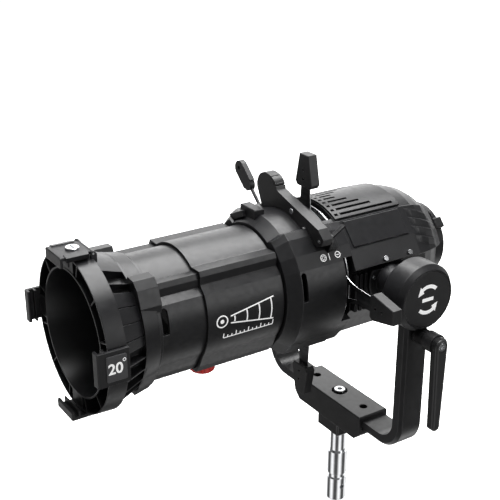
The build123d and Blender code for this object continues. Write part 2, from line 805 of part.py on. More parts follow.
def make_number_plate():
    middle = (clip_front + clip_back) / 2 + 3.0
    plate = box(clip_outer, clip_outer + 1.2, middle - plate_length / 2, middle + plate_length / 2,
                -plate_height / 2, plate_height / 2)
    return fillet(plate.edges().filter_by(Axis.X), 2.0)


def make_lens(r, edge, bulge, y0, bulge_side):
    """A plano-convex lens with its flat face at y0, bulging to bulge_side (-1 front, 1 rear)."""
    ball_r = (r * r + bulge * bulge) / (2 * bulge)
    centre = y0 + bulge_side * (edge + bulge - ball_r)
    ball = Pos(0, centre, 0) * Sphere(ball_r)
    far = y0 + bulge_side * (edge + bulge + 1)
    return ball & rod_y(r, min(y0, far), max(y0, far))


def make_lens_rings():
    """Each lens lies between two rings that are pressed into the tube."""
    rings = []
    for y0, side in ((front_lens_y, -1), (rear_lens_y, -1)):
        back = ring_y(tube_bore_r, tube_bore_r - 5.0, y0, y0 + 4.0)
        front = ring_y(tube_bore_r, lens_r, y0 + side * lens_edge, y0)
        lip_y0 = y0 + side * (lens_edge + 5.0)
        lip_y1 = y0 + side * (lens_edge + 1.2)
        front += ring_y(tube_bore_r, tube_bore_r - 2.2, lip_y0, lip_y1)
        front += ring_y(tube_bore_r, lens_r, y0 + side * (lens_edge + 1.3), y0 + side * lens_edge)
        rings.append(back)
        rings.append(front)
    return Compound(rings)


def make_focus_knob():
    guide_low = -tube_foot - guide_gap - guide_wall
    top = guide_low - 3.0
    knob = rod_z(knob_r, top - knob_height, top, 0, knob_y)
    knob = chamfer(knob.edges(), 1.6)
    for index in range(knob_flutes):
        x, y = polar(knob_r + 0.6, 360 * index / knob_flutes)
        knob -= rod_z(flute_r, top - knob_height - 1, top + 1, x, knob_y + y)
    knob += rod_z(knob_stem_r + 3.0, top, guide_low - 0.4, 0, knob_y)
    knob += rod_z(knob_stem_r, guide_low - 1, -tube_bore_r - 0.2, 0, knob_y)
    return knob


# ---- guide tube ----------------------------------------------------------------------------
def make_guide_tube():
    wall = guide_gap + guide_wall
    tube = tube_solid(tube_half(wall), guide_front, guide_rear - seam_width)
    tube += tube_solid(tube_half(wall - seam_depth), guide_rear - seam_width - 1, guide_rear)
    tube -= tube_solid(tube_half(guide_gap), guide_front - 1, guide_rear + 1)
    half = knob_stem_r + 0.8
    y0 = knob_y - focus_out
    y1 = knob_y + focus_in
    slot = box(-half, half, y0, y1, -tube_foot - 10, -tube_foot + 5)
    slot += rod_z(half, -tube_foot - 10, -tube_foot + 5, 0, y0)
    slot += rod_z(half, -tube_foot - 10, -tube_foot + 5, 0, y1)
    return tube - slot


# ---- gate housing --------------------------------------------------------------------------


def gate_outside():
    body = taper_solid(scaled(gate_half(0.0), gate_neck), gate_front, gate_half(0.0), gate_shoulder)
    return body + tube_solid(gate_half(0.0), gate_shoulder, gate_rear)


def make_gate_housing():
    body = gate_outside()
    body -= rod_y(tube_bore_r, gate_front - 1, gate_rear + 1)
    body -= cone_y(tube_bore_r, gate_bore_r, gate_front + 4, gate_shoulder + 1)
    body -= rod_y(gate_bore_r, gate_shoulder + 1, gate_rear + 1)
    body -= sector(gate_side_r + 20, slot_front, slot_rear, 54, 126)
    body -= sector(gate_side_r + 20, rod_y_place - 3.0, rod_y_place + 3.0, 91, 180)
    window = side_slot(gate_window_front, gate_window_rear, *gate_window_z)
    body -= window - rod_y(gate_side_r - 8.0, gate_front, gate_rear)
    body -= tube_solid(gate_half(-gate_wall), gate_shoulder + gate_wall, slot_front)
    body -= tube_solid(gate_half(-gate_wall), iris_face + 1.5, -79.0)
    return body + make_gate_skirt()


def make_gate_skirt():
    """The housing runs on round the shutter guides, with a window for each shutter."""
    skirt = tube_solid(gate_half(-0.8), gate_rear - 1.0, head_front - 0.3)
    skirt -= rod_y(guide_r + 0.6, gate_rear - 2.0, head_front + 1)
    for angle in shutter_angle.values():
        start = angle - window_half
        end = angle + window_half
        skirt -= sector(gate_side_r * 1.4, gate_rear, head_front + 1, start, end)
    return skirt


def make_gate_plate():
    return ring_y(gate_bore_r, gate_aperture_r, -77.0, -75.0)


# raised block and flat rest on the top of the gate housing
def make_top_block(gate):
    block = box(-31.0, 1.0, -143.0, -129.0, gate_top_r - 22, gate_top_r + 6.5)
    block = chamfer(block.faces().sort_by(Axis.Z)[-1].edges(), 1.0)
    rest = box(gate_top_r - 6, gate_top_r + 2.4, -147.0, -124.0, -17.0, 14.0)
    rest = chamfer(rest.faces().sort_by(Axis.X)[-1].edges(), 0.8)
    return block + Rot(0, -115, 0) * rest - gate


# ---- iris ----------------------------------------------------------------------------------


def make_iris_frame():
    frame = ring_y(gate_bore_r - 0.5, iris_bore_r, iris_front, iris_face)
    frame += ring_y(iris_hub_r - running_gap, iris_bore_r, iris_face - 1, rod_y_place + 2.0)
    tab = box(-22, 22, iris_front, iris_face, iris_bore_r + 6, gate_top_r)
    tab = tab & rod_y(gate_top_r - 0.4, iris_front, iris_face)
    return frame + tab


def make_iris_leaves():
    leaves = []
    width = 360 / leaf_count - 0.6
    for index in range(leaf_count):
        start = index * 360 / leaf_count
        leaf = sector(iris_bore_r * 1.2, iris_front + 3.0, iris_front + 3.6, start, start + width)
        leaf = leaf & ring_y(iris_bore_r, iris_open_r, iris_front, iris_face)
        leaves.append(leaf)
    return Compound(leaves)


def iris_rod():
    """The rod from the turning ring out into the handle."""
    inner = iris_hub_r + 5.0
    length = paddle_start + 12.0 - inner
    x, z = polar(inner + length / 2, rod_angle)
    return Pos(x, rod_y_place, z) * Rot(0, 90 - rod_angle, 0) * Cylinder(rod_r, length)


def make_iris_ring():
    ring = ring_y(gate_bore_r - iris_ring_clear, iris_hub_r, iris_face + 0.6, rod_y_place + 1.8)
    return ring + iris_rod()


def make_iris_paddle():
    r = paddle_half
    outline = box(paddle_start + 4, paddle_end - r, rod_y_place - paddle_thick / 2,
                  rod_y_place + paddle_thick / 2, -r, r)
    tip = rod_y(r, rod_y_place - paddle_thick / 2, rod_y_place + paddle_thick / 2, paddle_end - r)
    root = rod_y(r * 0.8, rod_y_place - paddle_thick / 2, rod_y_place + paddle_thick / 2, paddle_start + 4)
    paddle = outline + tip + root
    paddle -= rod_y(3.6, rod_y_place - 10, rod_y_place + 10, paddle_end - r)
    paddle = Rot(0, -rod_angle, 0) * paddle
    return paddle - iris_rod()


# ---- gate over the accessory slot ----------------------------------------------------------


def make_slot_gate():
    """A bar over the slot, hinged at its right end, with a thumb piece at its left end."""
    rest_r = gate_top_r + 0.6
    steps = [polar(rest_r, 118), polar(rest_r, 90) + polar(rest_r, 61)]
    steps += [polar(gate_side_r + 1.2, 57), polar(gate_side_r + 1.2, 49), (70.0, 63.5), (76.0, 61.5)]
    steps += [(84.5, 65.0), (88.5, 74.0), (77.0, 84.0), (-9.0, 108.5)]
    steps += [(-15.0, 119.5, -28.0, 124.5), (-46.0, 120.0, -52.5, 103.0)]
    bar = prism_y(steps, gate_bar_front, gate_bar_rear)
    for index in range(thumb_grooves):
        x = -12.0 - 2.6 * index
        z = 112.5 + 2.7 * index - 0.12 * index * index
        groove = box(-0.6, 2.5, gate_bar_front - 1, gate_bar_rear + 1, -0.7, 0.7)
        bar -= Pos(x, 0, z) * Rot(0, -45, 0) * groove
    bar -= rod_y(gate_pin_r + running_gap, gate_bar_front - 1, gate_bar_rear + 1, *gate_hinge)
    bar -= rod_y(catch_bore_r, gate_bar_front - 1, gate_bar_front + 3, *catch_place)
    return bar


def make_slot_catch():
    catch = rod_y(catch_r, gate_bar_front - 1.0, gate_bar_front + 3, *catch_place)
    return chamfer(catch.faces().sort_by(Axis.Y)[0].edges(), 0.6)


def make_slot_hinge(gate):
    """A strap on the gate housing that carries the hinge pin behind the bar."""
    steps = [(60.0, 62.0), (76.0, 48.0), (86.0, 67.0), (84.0, 75.0), (76.0, 76.0), (66.0, 69.0)]
    strap = prism_y(steps, bracket_front, bracket_front + 3.5)
    foot_steps = [(58.0, 64.0), (74.0, 46.0), (80.0, 57.0), (66.0, 70.5)]
    foot = prism_y(foot_steps, bracket_front, bracket_front + 14.0)
    tongue = Pos(gate_hinge[0] + 2.0, bracket_front + 3.0, gate_hinge[1] + 3.5) * Rot(32, 0, 0)
    strap += tongue * box(-3.0, 3.0, -2.0, 20.0, -1.2, 1.2)
    strap = (strap + foot) - gate
    return strap - rod_y(gate_pin_r, -200, 0, gate_hinge[0], gate_hinge[1])


def make_slot_pin():
    return rod_y(gate_pin_r, gate_bar_front - 0.6, bracket_front + 4.5, gate_hinge[0], gate_hinge[1])


# ---- framing shutters ----------------------------------------------------------------------


def make_blade(name):
    foot = shutter_rest[name]
    y = shutter_y + shutter_layer[name] * blade_pitch - blade_thick / 2
    inner = foot - blade_length
    wide = foot - 72.0
    narrow = foot - 25.0
    end = foot + 30.0
    half = neck_half + 1.5
    steps = [(inner, -blade_half), (wide, -blade_half), (foot - 54.0, -20.0, narrow, -half)]
    steps += [(foot - 5.0, -neck_half), (end, -neck_half), (end, neck_half), (foot - 5.0, neck_half)]
    steps += [(narrow, half), (foot - 54.0, 20.0, wide, blade_half), (inner, blade_half)]
    blade = prism_y(steps, y, y + blade_thick)
    window = [(foot - 46.0, -9.0), (foot - 30.0, -5.0), (foot - 30.0, 5.0), (foot - 46.0, 9.0)]
    blade -= prism_y(window, y - 1, y + 2)
    return Rot(0, -shutter_angle[name], 0) * blade


def make_grip(name, blade):
    foot = shutter_rest[name]
    y0 = shutter_y - grip_thick / 2
    steps = [(foot, -grip_root_half + 4), (foot + 5, -grip_root_half), (foot + grip_length, -grip_tip_half)]
    steps += [(foot + grip_length, grip_tip_half), (foot + 5, grip_root_half), (foot, grip_root_half - 4)]
    grip = prism_y(steps, y0, y0 + grip_thick)
    grip = chamfer(grip.faces().sort_by(Axis.Y)[0].edges(), 0.9)
    for u in (foot + 10, foot + 22):
        grip -= rod_y(1.6, y0 - 1, y0 + 2.5, u)
    return Rot(0, -shutter_angle[name], 0) * grip - blade


def make_shutter_guides():
    y0 = shutter_y - chamber_half
    y1 = shutter_y + chamber_half
    front = ring_y(guide_r, gate_aperture_r + 4, y0 - guide_thick, y0)
    rear = ring_y(guide_r, gate_aperture_r + 4, y1, y1 + guide_thick)
    return front, rear


def make_shutter_posts():
    posts = []
    for x in (-post_place, post_place):
        for z in (-post_place, post_place):
            posts.append(rod_y(post_r, shutter_y - chamber_half, shutter_y + chamber_half, x, z))
    return Compound(posts)


# ---- rear head -----------------------------------------------------------------------------


def make_head_shell():
    body = tube_solid(head_half(0.0), head_front, head_shoulder)
    for (y0, size0), (y1, size1) in zip(dome, dome[1:]):
        body += taper_solid(scaled(head_half(0.0), size0), y0, scaled(head_half(0.0), size1), y1)
    seat = shutter_y + chamber_half + guide_thick
    body += ring_y(head_bore_r, head_bore_r - 5.0, seat, head_front + 1)
    body -= rod_y(52.0, seat - 1, head_front + head_wall + 1)
    body -= rod_y(head_bore_r, head_front + head_wall, head_shoulder)
    body -= cone_y(head_bore_r, collar_r - 3.0, head_shoulder, head_rear)
    for y0, y1 in head_hollows:
        body -= tube_solid(head_half(-head_wall), y0, y1)
    for (y0, size0), (y1, size1) in zip(dome[:3], dome[1:3]):
        inside = head_half(-head_wall)
        body -= taper_solid(scaled(inside, size0), y0, scaled(inside, size1), y1)
    fins = ring_y(head_top_r * 1.2, fin_floor_r, head_front + 1, head_shoulder)
    body -= fins & sector(head_top_r * 1.5, head_front + 1, head_shoulder, fin_start, 180 - fin_start)
    body -= rod_y(collar_r, collar_front, head_rear + 1)
    return body


def make_fin_cover():
    """Ribbed cover let into the top of the head, with a smooth three-cornered panel at its back."""
    outer = head_top_r + fin_cover_out
    cover = ring_y(outer, fin_floor_r, head_front + 1, head_shoulder)
    cover = cover & sector(outer * 1.3, head_front + 1, head_shoulder, fin_start, 180 - fin_start)
    pitch = (180 - 2 * fin_first) / (fin_count - 1)
    for index in range(fin_count):
        angle = fin_first + index * pitch
        from_top = abs(angle - 90)
        reach = head_shoulder - 8.0 if from_top > 25 else 2.1 * from_top - 30.0
        for y0, y1 in ((head_front + 4, fin_bar_front), (fin_bar_back, reach)):
            groove = box(fin_floor_r + 0.9, outer + 2, y0, y1, -fin_groove / 2, fin_groove / 2)
            cover -= Rot(0, -angle, 0) * groove
    return cover


def make_side_cover():
    """A thin panel on the sloping shoulder of the head."""
    inner = [polar(head_top_r + 4.45, 55.5), polar(head_top_r + 4.0, 32.5)]
    steps = inner + [polar(head_top_r + 5.2, 33.2), polar(head_top_r + 5.4, 54.8)]
    return prism_y(steps, head_front + 7.0, 40.0)


def make_heatsink():
    """Upright cooling bars on the flat side of the head, in front of the tilt bracket."""
    low = -32.0
    high = ledge_low - 7.5
    y0 = head_front + 1.0
    sink = box(head_side, head_side + 1.6, y0, y0 + 3 * fin_bar + 2 * fin_gap, low, high)
    for index in range(3):
        y = y0 + index * (fin_bar + fin_gap)
        sink += box(head_side + 1, head_side + fin_bar_depth, y, y + fin_bar, low, high)
    return sink


def make_ledge_screws():
    """Screws on the sloping ledge below the side covers."""
    upper = polar(head_top_r + 4.0, 31.5)
    lower = (head_side + ledge_out, ledge_low)
    slope = degrees(atan2(upper[1] - lower[1], lower[0] - upper[0]))
    x = lower[0] * 0.8 + upper[0] * 0.2
    z = lower[1] * 0.8 + upper[1] * 0.2
    screws = []
    for y in ledge_screw_places:
        screw = Pos(x, y, z) * Rot(0, slope, 0) * Cylinder(ledge_screw_r, 6.0)
        screws.append(screw)
        screws.append(mirror(screw, about=Plane.YZ))
    return screws


def make_rear_collar():
    collar = ring_y(collar_r, collar_bore_r, collar_front, collar_rear)
    collar += ring_y(collar_r, collar_bore_r - 2.0, collar_rear - 1.5, collar_rear)
    collar = chamfer(collar.faces().sort_by(Axis.Y)[-1].edges().sort_by(SortBy.RADIUS)[-1], 1.2)
    slot_y0, slot_y1, slot_start, slot_end = lock_slot
    slot = sector(collar_r + 20, slot_y0, slot_y1, slot_start, slot_end)
    return collar - slot


def make_bayonet_ring():
    outer = collar_bore_r - 0.4
    ring = ring_y(outer, outer - bayonet_wall, bayonet_front, collar_rear - 2.0)
    for angle in (90, 210, 330):
        lug = ring_y(collar_bore_r - 4.0, collar_bore_r - 8.0, lug_front, lug_rear)
        ring += lug & sector(collar_r * 1.2, lug_front, lug_rear, angle - lug_half, angle + lug_half)
    return ring


def make_lock_lever():
    stem = box(collar_bore_r - 0.4, collar_r + 2, 118.0, 123.4, -3.5, 3.5)
    grip = box(collar_r + 0.8, collar_r + 9.0, 115.0, 129.0, -7.0, 7.0)
    grip = chamfer(grip.faces().sort_by(Axis.X)[-1].edges(), 1.2)
    lever = stem + grip
    ring = rod_y(collar_bore_r - 0.4, 100, 140)
    return Rot(0, -lock_angle, 0) * lever - ring


def make_condenser_cell():
    cell = ring_y(condenser_r, condenser_bore_r, condenser_front, condenser_rear)
    for y in (condenser_front, condenser_rear - 12.0):
        cell += ring_y(head_bore_r, condenser_bore_r, y, y + 3.0)
    for y0, y1 in condenser_seats:
        cell += ring_y(condenser_bore_r + 1.0, condenser_bore_r - 4.0, y0, y1)
    return cell


# ---- all nodes -----------------------------------------------------------------------------
def make_all():
    keep_low("base_block", make_base_block())
    keep_low("arm_screws", make_arm_screws())
    keep_low("spigot_boss", make_spigot_boss())
    keep_low("stand_spigot", make_stand_spigot())
    keep_low("spigot_bolt", make_spigot_bolt())
    keep_low("spigot_washer", make_spigot_washer())
    both_sides(keep_low, "yoke_arm", make_arm())
    keep("pivot_housings", pair(make_pivot_housing()))
    keep("pivot_covers", pair(make_pivot_cover()))
    keep("tilt_shafts", pair(make_tilt_shaft()))
    keep("friction_discs", pair(make_friction_disc()))
    keep("clamp_stud", make_clamp_stud())
    keep("clamp_handle", make_clamp_handle())
    keep("clamp_screw", make_clamp_screw())
    keep("clamp_nut", make_clamp_nut())

    plain_holder = make_front_holder()
    holder = plain_holder
    for ear in make_top_ears(plain_holder):
        holder += ear
    keep("front_holder", holder)
    keep("lens_tube", make_lens_tube())
    keep("frame_clips", make_frame_clips(holder))
    keep("top_clip", lowered(make_top_clip()))
    keep("top_clip_screw", lowered(make_top_clip_screw()))
    keep("top_clip_pin", lowered(make_top_clip_pin()))
    keep("number_plate", lowered(make_number_plate()))
    keep("front_lens", make_lens(lens_r, lens_edge, lens_bulge, front_lens_y, -1))
    keep("rear_lens", make_lens(lens_r, lens_edge, lens_bulge, rear_lens_y, -1))
    keep("lens_rings", make_lens_rings())
    keep("focus_knob", make_focus_knob())
    keep("guide_tube", make_guide_tube())

    gate = gate_outside()
    keep("gate_housing", make_gate_housing())
    keep("gate_plate", make_gate_plate())
    keep("top_block", make_top_block(gate))
    keep("iris_frame", make_iris_frame())
    keep("iris_leaves", make_iris_leaves())
    keep("iris_ring", make_iris_ring())
    keep("iris_paddle", make_iris_paddle())
    keep("slot_gate", make_slot_gate())
    keep("slot_catch", make_slot_catch())
    keep("slot_hinge", make_slot_hinge(gate))
    keep("slot_pin", make_slot_pin())

    for name in shutter_angle:
        blade = make_blade(name)
        keep("shutter_blade_" + name, blade)
        keep("shutter_grip_" + name, make_grip(name, blade))
    front_guide, rear_guide = make_shutter_guides()
    keep("shutter_guides", Compound([front_guide, rear_guide]))
    keep("shutter_posts", make_shutter_posts())

    screws = make_ledge_screws()
    head = make_head_shell()
    for screw in screws:
        head -= screw
    keep("head_shell", head)
    keep("tilt_brackets", pair(make_tilt_bracket()))
    keep("head_screws", Compound(screws + make_bracket_screws(1) + make_bracket_screws(-1)))
    keep("fin_cover", make_fin_cover())
    keep("side_covers", pair(make_side_cover()))
    keep("heatsinks", pair(make_heatsink()))
    keep("rear_collar", make_rear_collar())
    keep("bayonet_ring", make_bayonet_ring())
    keep("lock_lever", make_lock_lever())
    keep("condenser_cell", make_condenser_cell())
    condenser_lens_r = condenser_bore_r - 0.1
    front_condenser = make_lens(condenser_lens_r, lens_edge, lens_bulge, -24.0, -1)
    rear_condenser = make_lens(condenser_lens_r, lens_edge, lens_bulge, condenser_seats[1][1], 1)
    keep("condenser_lenses", Compound([front_condenser, rear_condenser]))


make_all()
for name, shape in pieces.items():
    export_step(shape, os.path.join(out_folder, name + ".step"))
print(len(pieces), "nodes")
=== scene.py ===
"""Profile spotlight barrel in its yoke: finishes, fine detail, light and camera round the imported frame."""
import json
from math import cos, pi, radians, sin, sqrt

import bpy
import bmesh
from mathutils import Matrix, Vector
from mathutils.bvhtree import BVHTree


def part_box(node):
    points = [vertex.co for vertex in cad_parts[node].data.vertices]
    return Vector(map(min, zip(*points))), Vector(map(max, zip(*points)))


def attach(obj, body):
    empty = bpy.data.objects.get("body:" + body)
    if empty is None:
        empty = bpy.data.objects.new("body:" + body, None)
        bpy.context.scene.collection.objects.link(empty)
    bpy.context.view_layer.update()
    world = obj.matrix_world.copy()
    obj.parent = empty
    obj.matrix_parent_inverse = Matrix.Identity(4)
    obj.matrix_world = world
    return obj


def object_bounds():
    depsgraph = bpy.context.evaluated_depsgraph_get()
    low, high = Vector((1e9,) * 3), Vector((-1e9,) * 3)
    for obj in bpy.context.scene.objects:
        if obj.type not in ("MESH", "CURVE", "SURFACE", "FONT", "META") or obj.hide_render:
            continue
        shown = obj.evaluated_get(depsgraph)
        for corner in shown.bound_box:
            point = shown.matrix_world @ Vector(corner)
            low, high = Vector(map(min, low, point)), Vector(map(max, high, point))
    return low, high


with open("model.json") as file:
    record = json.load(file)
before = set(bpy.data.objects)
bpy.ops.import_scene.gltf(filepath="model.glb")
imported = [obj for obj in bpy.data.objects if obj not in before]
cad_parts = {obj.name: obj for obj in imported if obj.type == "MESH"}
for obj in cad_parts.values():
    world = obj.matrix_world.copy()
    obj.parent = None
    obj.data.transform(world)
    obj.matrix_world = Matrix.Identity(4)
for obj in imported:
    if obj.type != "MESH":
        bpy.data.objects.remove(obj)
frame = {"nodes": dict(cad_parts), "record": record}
cad_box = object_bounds()

MM = 0.001

# camera
CAMERA_AZIMUTH = 56.84
CAMERA_ELEVATION = 22.32
CAMERA_TARGET = Vector((-0.078, -0.098, 0.301))
CAMERA_DISTANCE = 1.35
CAMERA_LENS = 73.32
CAMERA_SENSOR = 36.0

# the beam axis, from the pivot covers' centre
cover_low, cover_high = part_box("pivot_covers")
AXIS_Z = (cover_low.z + cover_high.z) / 2
FLOOR_GAP = 0.5 * MM
FLOOR_Z = cad_box[0][2] - FLOOR_GAP

# light: the even fill, the floor's own light, the marks' own light, and bands for the chrome to mirror
FILL = 0.22
FLOOR_GLOW = 0.85
INK_GLOW = 0.30
BAND_COUNT = 4.0
BAND_TURN = 0.22
BAND_DARK = 0.10
BAND_LIGHT = 1.35

# places of the marks on the barrel
GUIDE_FLANK_R = 78.6 * MM
BEAM_MARK_UNIT = 1.42 * MM
BEAM_MARK_DROP = 3.5 * MM
FACET_R = 94.0 * MM
FACET_TOP = 36.5
FACET_FOOT = 25.0
GATE_SIGNS_Y = -97.0 * MM


# ---- materials -----------------------------------------------------------------------------
class Finish:
    """A material with short names for the few node set-ups that the finishes share."""

    def __init__(self, name):
        self.material = bpy.data.materials.new(name)
        self.material.use_nodes = True
        self.tree = self.material.node_tree
        self.shader = self.tree.nodes["Principled BSDF"]
        place = self.tree.nodes.new("ShaderNodeTexCoord")
        self.place = place.outputs["Object"]
        self.object_normal = place.outputs["Normal"]

    def set(self, **values):
        for key, value in values.items():
            self.shader.inputs[key.replace("_", " ")].default_value = value

    def link(self, a, b):
        self.tree.links.new(a, b)

    def noise(self, scale, detail=3.0, rough=0.5, stretch=None):
        vector = self.place
        if stretch:
            mapping = self.tree.nodes.new("ShaderNodeMapping")
            mapping.inputs["Scale"].default_value = stretch
            self.link(vector, mapping.inputs["Vector"])
            vector = mapping.outputs["Vector"]
        node = self.tree.nodes.new("ShaderNodeTexNoise")
        node.inputs["Scale"].default_value = scale
        node.inputs["Detail"].default_value = detail
        node.inputs["Roughness"].default_value = rough
        self.link(vector, node.inputs["Vector"])
        return node.outputs["Fac"]

    def ramp(self, source, low, high, first, last):
        node = self.tree.nodes.new("ShaderNodeValToRGB")
        stops = node.color_ramp.elements
        stops[0].position = low
        stops[1].position = high
        stops[0].color = (*first, 1.0)
        stops[1].color = (*last, 1.0)
        self.link(source, node.inputs["Fac"])
        return node.outputs["Color"]

    def spread(self, source, first, last):
        """The source's 0.3 to 0.7 spread over first to last."""
        node = self.tree.nodes.new("ShaderNodeMapRange")
        node.inputs["From Min"].default_value = 0.3
        node.inputs["From Max"].default_value = 0.7
        node.inputs["To Min"].default_value = first
        node.inputs["To Max"].default_value = last
        self.link(source, node.inputs["Value"])
        return node.outputs["Result"]

    def mix(self, factor, a, b):
        node = self.tree.nodes.new("ShaderNodeMix")
        node.data_type = "RGBA"
        for socket, value in ((node.inputs[6], a), (node.inputs[7], b)):
            if isinstance(value, tuple):
                socket.default_value = (*value, 1.0)
            else:
                self.link(value, socket)
        self.link(factor, node.inputs["Factor"])
        return node.outputs[2]

    def soft_edges(self, radius):
        """Rounds the shading over every edge, and returns that normal and a mask of the edges."""
        bevel = self.tree.nodes.new("ShaderNodeBevel")
        bevel.samples = 4
        bevel.inputs["Radius"].default_value = radius
        geometry = self.tree.nodes.new("ShaderNodeNewGeometry")
        dot = self.tree.nodes.new("ShaderNodeVectorMath")
        dot.operation = "DOT_PRODUCT"
        self.link(bevel.outputs["Normal"], dot.inputs[0])
        self.link(geometry.outputs["Normal"], dot.inputs[1])
        mask = self.tree.nodes.new("ShaderNodeMapRange")
        mask.inputs["From Min"].default_value = 1.0
        mask.inputs["From Max"].default_value = 0.86
        self.link(dot.outputs["Value"], mask.inputs["Value"])
        return bevel.outputs["Normal"], mask.outputs["Result"]

    def bump(self, height, strength, depth, normal=None):
        node = self.tree.nodes.new("ShaderNodeBump")
        node.inputs["Strength"].default_value = strength
        node.inputs["Distance"].default_value = depth
        self.link(height, node.inputs["Height"])
        if normal:
            self.link(normal, node.inputs["Normal"])
        self.link(node.outputs["Normal"], self.shader.inputs["Normal"])


def powder_coat(name, tone, roughness, grain, edge=0.55, radius=0.9 * MM, gloss=0.4):
    """Fine-textured black coat: faint colour drift, a soft grain and slightly polished edges."""
    f = Finish(name)
    normal, edges = f.soft_edges(radius)
    drift = f.noise(38.0, 4.0)
    base = f.ramp(drift, 0.3, 0.7, tuple(0.82 * t for t in tone), tuple(1.15 * t for t in tone))
    worn = tuple(min(1.0, t * (1.0 + 2.2 * edge) + 0.010 * edge) for t in tone)
    f.link(f.mix(edges, base, worn), f.shader.inputs["Base Color"])
    f.link(f.spread(f.noise(160.0, 5.0), roughness - 0.05, roughness + 0.06), f.shader.inputs["Roughness"])
    f.bump(f.noise(1500.0, 2.0), grain, 0.12 * MM, normal)
    f.set(Specular_IOR_Level=gloss)
    return f.material


def machined(name, tone, roughness, stretch, streak=0.35):
    """Bare metal with fine tool or brush marks along one direction."""
    f = Finish(name)
    normal, edges = f.soft_edges(0.4 * MM)
    marks = f.noise(60.0, 6.0, 0.6, stretch)
    dark = tuple(0.78 * t for t in tone)
    f.link(f.mix(edges, f.ramp(marks, 0.3, 0.7, dark, tone), tone), f.shader.inputs["Base Color"])
    f.link(f.spread(marks, roughness * 0.8, roughness * 1.3), f.shader.inputs["Roughness"])
    f.bump(marks, streak, 0.02 * MM, normal)
    f.set(Metallic=1.0)
    return f.material


def chrome():
    f = Finish("chrome")
    normal, edges = f.soft_edges(0.5 * MM)
    smear = f.noise(90.0, 5.0)
    f.link(f.ramp(smear, 0.25, 0.75, (0.66, 0.67, 0.69), (0.78, 0.79, 0.80)), f.shader.inputs["Base Color"])
    f.link(f.spread(smear, 0.10, 0.20), f.shader.inputs["Roughness"])
    f.bump(smear, 0.05, 0.03 * MM, normal)
    f.set(Metallic=1.0)
    return f.material


def coated_blade():
    """Shutter steel: blackened faces, bright cut edges."""
    f = Finish("shutter_steel")
    split = f.tree.nodes.new("ShaderNodeSeparateXYZ")
    f.link(f.object_normal, split.inputs["Vector"])
    size = f.tree.nodes.new("ShaderNodeMath")
    size.operation = "ABSOLUTE"
    f.link(split.outputs["Y"], size.inputs[0])
    face = f.tree.nodes.new("ShaderNodeMath")
    face.operation = "GREATER_THAN"
    face.inputs[1].default_value = 0.5
    f.link(size.outputs["Value"], face.inputs[0])
    scuffs = f.noise(70.0, 6.0, 0.6, (1.0, 1.0, 6.0))
    dark = f.ramp(scuffs, 0.35, 0.75, (0.06, 0.06, 0.063), (0.11, 0.11, 0.115))
    f.link(f.mix(face.outputs["Value"], (0.85, 0.86, 0.87), dark), f.shader.inputs["Base Color"])
    f.link(f.spread(scuffs, 0.28, 0.42), f.shader.inputs["Roughness"])
    f.bump(scuffs, 0.1, 0.05 * MM)
    f.set(Metallic=1.0)
    return f.material


def lens_glass():
    f = Finish("lens_glass")
    dust = f.noise(220.0, 6.0, 0.65)
    f.link(f.spread(dust, 0.0, 0.03), f.shader.inputs["Roughness"])
    f.link(f.ramp(dust, 0.2, 0.8, (0.90, 0.95, 0.97), (0.97, 0.99, 1.0)), f.shader.inputs["Base Color"])
    f.set(Transmission_Weight=1.0, IOR=1.52, Coat_Weight=0.25)
    return f.material


def moulded(name, tone, roughness, grain=0.2, edge=0.3):
    """Moulded plastic with a fine spark-eroded grain."""
    f = Finish(name)
    normal, edges = f.soft_edges(0.8 * MM)
    drift = f.noise(55.0, 3.0)
    base = f.ramp(drift, 0.3, 0.7, tuple(0.88 * t for t in tone), tuple(min(1.0, 1.1 * t) for t in tone))
    worn = tuple(min(1.0, t * (1.0 + edge) + 0.01 * edge) for t in tone)
    f.link(f.mix(edges, base, worn), f.shader.inputs["Base Color"])
    f.link(f.spread(f.noise(240.0, 4.0), roughness - 0.04, roughness + 0.05), f.shader.inputs["Roughness"])
    f.bump(f.noise(2300.0, 2.0), grain, 0.07 * MM, normal)
    return f.material


def friction_lining():
    f = Finish("friction_lining")
    fibres = f.noise(900.0, 8.0, 0.8)
    f.link(f.ramp(fibres, 0.3, 0.7, (0.07, 0.06, 0.05), (0.24, 0.21, 0.17)), f.shader.inputs["Base Color"])
    f.bump(fibres, 0.5, 0.2 * MM)
    f.set(Roughness=0.9)
    return f.material


def ink():
    """Screen-printed white, slightly uneven, with a painted glow: the print gives off light of its own,
    though it is no lamp.
    """
    f = Finish("white_ink_painted_glow")
    patch = f.noise(420.0, 4.0)
    f.link(f.ramp(patch, 0.25, 0.75, (0.78, 0.78, 0.77), (0.90, 0.90, 0.90)), f.shader.inputs["Base Color"])
    f.link(f.spread(patch, 0.42, 0.6), f.shader.inputs["Roughness"])
    # painted glow: the ink emits light so the print shows brighter than the lamps light it
    f.set(Emission_Color=(1.0, 1.0, 1.0, 1.0), Emission_Strength=INK_GLOW)
    return f.material


def studio_floor():
    f = Finish("studio_floor")
    tone = f.ramp(f.noise(2.0), 0.3, 0.7, (0.93, 0.93, 0.93), (0.95, 0.95, 0.95))
    f.link(tone, f.shader.inputs["Base Color"])
    f.set(Roughness=0.95, Specular_IOR_Level=0.0)
    f.set(Emission_Color=(1.0, 1.0, 1.0, 1.0), Emission_Strength=FLOOR_GLOW)
    return f.material


